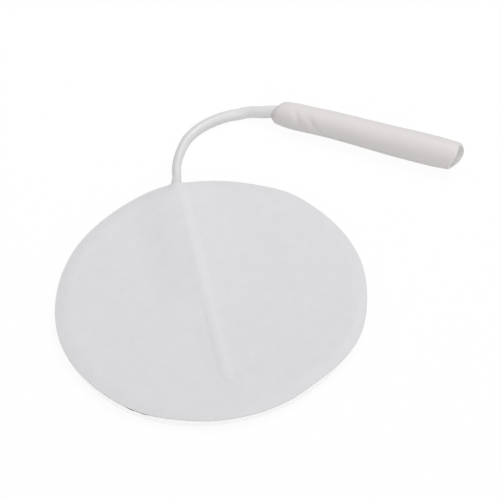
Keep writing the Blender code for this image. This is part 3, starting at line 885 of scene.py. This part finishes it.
def make_contact(place):
    """The socket contact: a strip rolled into two crimps and a slit barrel.

    Each station has a height and the strip's middle radius there, which is then
    smoothed along the strip. The half angle that the strip spans drops to a
    trough in the window and in the neck. A row of the grid goes round the outer
    face and back round the inner one, and the two meet at both ends.
    """
    half = STRIP_THICKNESS / 2
    barrel_radius = PIN_BORE_DIAMETER / 2 + half
    jacket_crimp = JACKET_RADIUS + CRIMP_CLEARANCE + half
    wire_crimp = BUNDLE_RADIUS + CRIMP_CLEARANCE + half
    wires = JACKET_CRIMP_LENGTH + WINDOW_LENGTH
    neck = wires + WIRE_CRIMP_LENGTH
    barrel = neck + NECK_LENGTH
    stations = np.array([
        (JACKET_CRIMP_LENGTH + 0.30 * WINDOW_LENGTH, jacket_crimp),
        (wires - 0.15 * WINDOW_LENGTH, wire_crimp),
        (neck + 0.15 * NECK_LENGTH, wire_crimp),
        (barrel - 0.20 * NECK_LENGTH, barrel_radius),
        (barrel + 0.25 * BARREL_LENGTH, barrel_radius),
        (barrel + 0.45 * BARREL_LENGTH, barrel_radius - BARREL_WAIST),
        (barrel + 0.65 * BARREL_LENGTH, barrel_radius - BARREL_WAIST),
        (barrel + 0.92 * BARREL_LENGTH, barrel_radius),
        (CONTACT_LENGTH, barrel_radius + BARREL_FLARE),
    ])
    z = np.linspace(0.0, CONTACT_LENGTH, CONTACT_ROWS)
    radius = np.interp(z, stations[:, 0], stations[:, 1])
    radius = np.convolve(np.pad(radius, CONTACT_SMOOTHING // 2, mode="edge"),
                         np.ones(CONTACT_SMOOTHING) / CONTACT_SMOOTHING, mode="valid")
    in_window = ease((z - JACKET_CRIMP_LENGTH) / TROUGH_EASE) * ease((wires - z) / TROUGH_EASE)
    in_neck = ease((z - neck) / TROUGH_EASE) * ease((barrel - z) / TROUGH_EASE)
    full = np.pi - np.arcsin(SLIT_WIDTH / 2 / radius)
    span = full + (TROUGH_HALF_ANGLE - full) * np.maximum(in_window, in_neck)
    across = np.linspace(-1.0, 1.0, CONTACT_COLUMNS)
    turn = np.pi + span[:, None] * np.concatenate([across, across[::-1]])
    depth = half * np.repeat([1.0, -1.0], CONTACT_COLUMNS)
    height = z[:, None] + 0.0 * turn
    reach = radius[:, None] + depth
    grid = np.stack([reach * np.cos(turn), reach * np.sin(turn), height], axis=-1)
    reach = radius[:, None] + 0.0 * depth
    middle = np.stack([reach * np.cos(turn), reach * np.sin(turn), height], axis=-1)
    grid = np.concatenate([middle[:1], grid, middle[-1:]])
    lifted = place @ Matrix.Translation((0.0, 0.0, CONTACT_START))
    piece = skin("rolled_contact", in_frame(lifted, grid),
                 metal_finish("nickel_plate", (0.60, 0.585, 0.55), (0.70, 0.69, 0.655),
                              -math.degrees(SLEEVE_HEADING)))
    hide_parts("socket_contact")
    return piece


def dress_strands():
    """Tinned finish on the model's own strands."""
    tinned = metal_finish("tinned_wire", (0.62, 0.61, 0.59), (0.74, 0.73, 0.71), 90.0)
    names = ["strand_core"] + [f"strand_{number}" for number in range(1, 7)]
    for name in names:
        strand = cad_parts[name]
        strand.data.materials.clear()
        strand.data.materials.append(tinned)
    return names


# Stage

def make_floor():
    """A white floor that keeps a faint shadow.

    What is seen of it is mostly an even glow, so strong that with its share of
    the lit paint the open floor comes out white.
    """
    bpy.ops.mesh.primitive_plane_add(size=FLOOR_SIZE, location=(0.0, 0.0, -FLOOR_CLEARANCE))
    floor = bpy.context.object
    floor.name = "floor"
    material = bpy.data.materials.new("floor_paint")
    material.use_nodes = True
    paint = Nodes(material.node_tree)
    level = (SKY_LEVEL + KEY_LEVEL * Vector(KEY_PLACE).normalized().z
             + FILL_LEVEL * Vector(FILL_PLACE).normalized().z)
    lit = (1.0 - FLOOR_GLOW_SHARE) * FLOOR_ALBEDO * level
    shaded = paint.node("ShaderNodeBsdfDiffuse", {},
                        {"Color": (FLOOR_ALBEDO, FLOOR_ALBEDO, FLOOR_ALBEDO, 1.0)})
    glow = paint.node("ShaderNodeEmission", {},
                      {"Color": WHITE, "Strength": (1.0 - lit) / FLOOR_GLOW_SHARE})
    blend = paint.node("ShaderNodeMixShader", {},
                       {0: FLOOR_GLOW_SHARE * paint.seen(), 1: shaded, 2: glow})
    paint.surface("Material Output", blend, unused="Principled BSDF")
    floor.data.materials.append(material)


def add_lamp(name, level, place, aim, size):
    """A square lamp, so strong that a white surface at the origin facing it shows its level."""
    place = Vector(place)
    back = (place - Vector(aim)).normalized()
    lamp = bpy.data.lights.new(name, "AREA")
    lamp.size = size
    lamp.energy = level * math.pi ** 2 * place.length ** 3 / place.dot(back)
    made = bpy.data.objects.new(name, lamp)
    made.location = place
    made.rotation_mode = "QUATERNION"
    made.rotation_quaternion = back.to_track_quat("Z", "Y")
    bpy.context.scene.collection.objects.link(made)


def make_light():
    """An even sky that looks white, a soft lamp beyond the pad on its right, and a fill in front."""
    world = bpy.data.worlds.new("studio")
    bpy.context.scene.world = world
    world.use_nodes = True
    studio = Nodes(world.node_tree)
    sky = studio.node("ShaderNodeBackground", {}, {"Color": WHITE, "Strength": SKY_LEVEL})
    white = studio.node("ShaderNodeBackground", {}, {"Color": WHITE, "Strength": 1.0})
    blend = studio.node("ShaderNodeMixShader", {}, {0: studio.seen(), 1: sky, 2: white})
    studio.surface("World Output", blend, unused="Background")
    add_lamp("key", KEY_LEVEL, KEY_PLACE, KEY_AIM, KEY_SIZE)
    add_lamp("fill", FILL_LEVEL, FILL_PLACE, FILL_AIM, FILL_SIZE)


def make_camera():
    """The camera: its line of sight from azimuth and elevation, then rolled about it."""
    elevation, azimuth, roll = (math.radians(value)
                                for value in (VIEW_ELEVATION, VIEW_AZIMUTH, VIEW_ROLL))
    look = Vector((-math.sin(azimuth) * math.cos(elevation),
                   math.cos(azimuth) * math.cos(elevation), -math.sin(elevation)))
    level = Vector((math.cos(azimuth), math.sin(azimuth), 0.0))
    up = level.cross(look)
    right = level * math.cos(roll) + up * math.sin(roll)
    top = up * math.cos(roll) - level * math.sin(roll)
    placed = Matrix((right, top, -look)).transposed().to_4x4()
    placed.translation = Vector(VIEW_TARGET) - look * VIEW_DISTANCE
    lens = bpy.data.cameras.new("camera")
    lens.lens = LENS_MM
    lens.sensor_width = SENSOR_MM
    lens.clip_start = CLIP_START
    lens.clip_end = CLIP_END
    camera = bpy.data.objects.new("camera", lens)
    camera.matrix_world = placed
    bpy.context.scene.collection.objects.link(camera)
    bpy.context.scene.camera = camera


bpy.context.scene.view_settings.view_transform = "Standard"
make_camera()
sleeve_place = sleeve_frame()
on_the_lead = [make_sleeve(sleeve_place), make_contact(sleeve_place)] + dress_strands()
make_lead(sleeve_place)
make_pad()
make_floor()
make_light()
